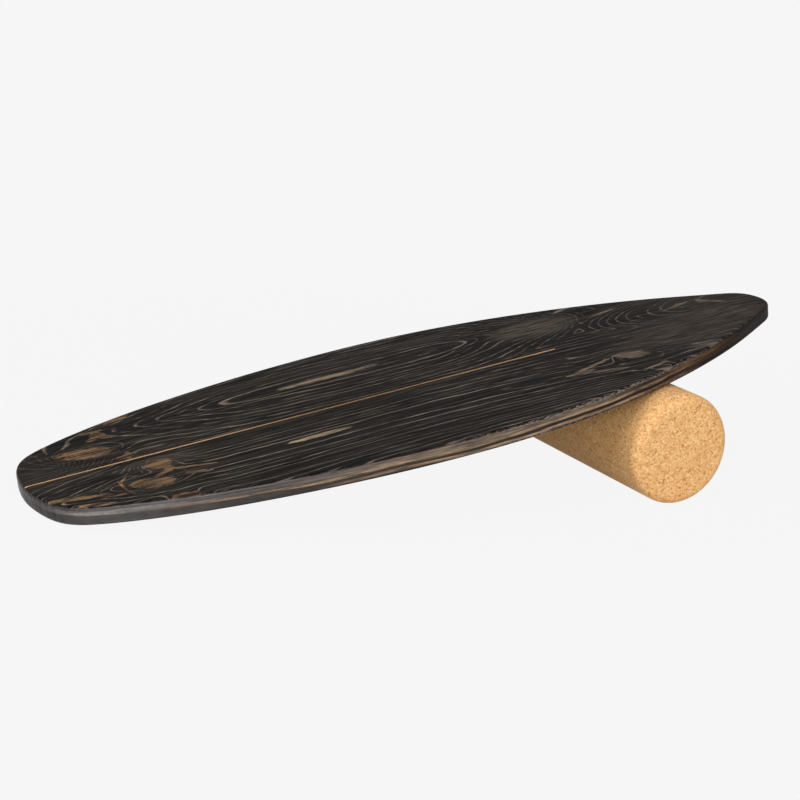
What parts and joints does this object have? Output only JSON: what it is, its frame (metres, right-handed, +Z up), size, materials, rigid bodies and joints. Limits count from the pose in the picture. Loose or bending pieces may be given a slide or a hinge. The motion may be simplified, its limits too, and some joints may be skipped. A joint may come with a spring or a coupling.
{
  "type": "balance roller board",
  "caption": "Long flat wooden deck with a squared tail and rounded nose, lying tail down over a loose cork roller that travels under it between two stop battens.",
  "frame": {"origin": "floor level, under the middle of the whole object", "axes": "+X along the deck from tail to nose, +Z up, Y along the roller"},
  "size_m": [0.729, 0.292, 0.1516],
  "materials": {
    "deck": "black stained and brushed softwood, matt oiled",
    "stopper": "oiled beech",
    "screw": "zinc plated steel",
    "roller": "sanded pressed cork"
  },
  "bodies": {
    "roller": {"roller": "roller"},
    "deck": {"deck": "deck", "nose_stopper": "stopper", "tail_stopper": "stopper", "nose_stopper_screw_1": "screw", "nose_stopper_screw_2": "screw", "nose_stopper_screw_3": "screw", "tail_stopper_screw_1": "screw", "tail_stopper_screw_2": "screw", "tail_stopper_screw_3": "screw"}
  },
  "joints": [
    {"name": "deck_travel", "type": "slide", "parent": "roller", "child": "deck", "axis": [0.9827, 0, 0.1853], "range_m": [0, 0.3815]}
  ]
}
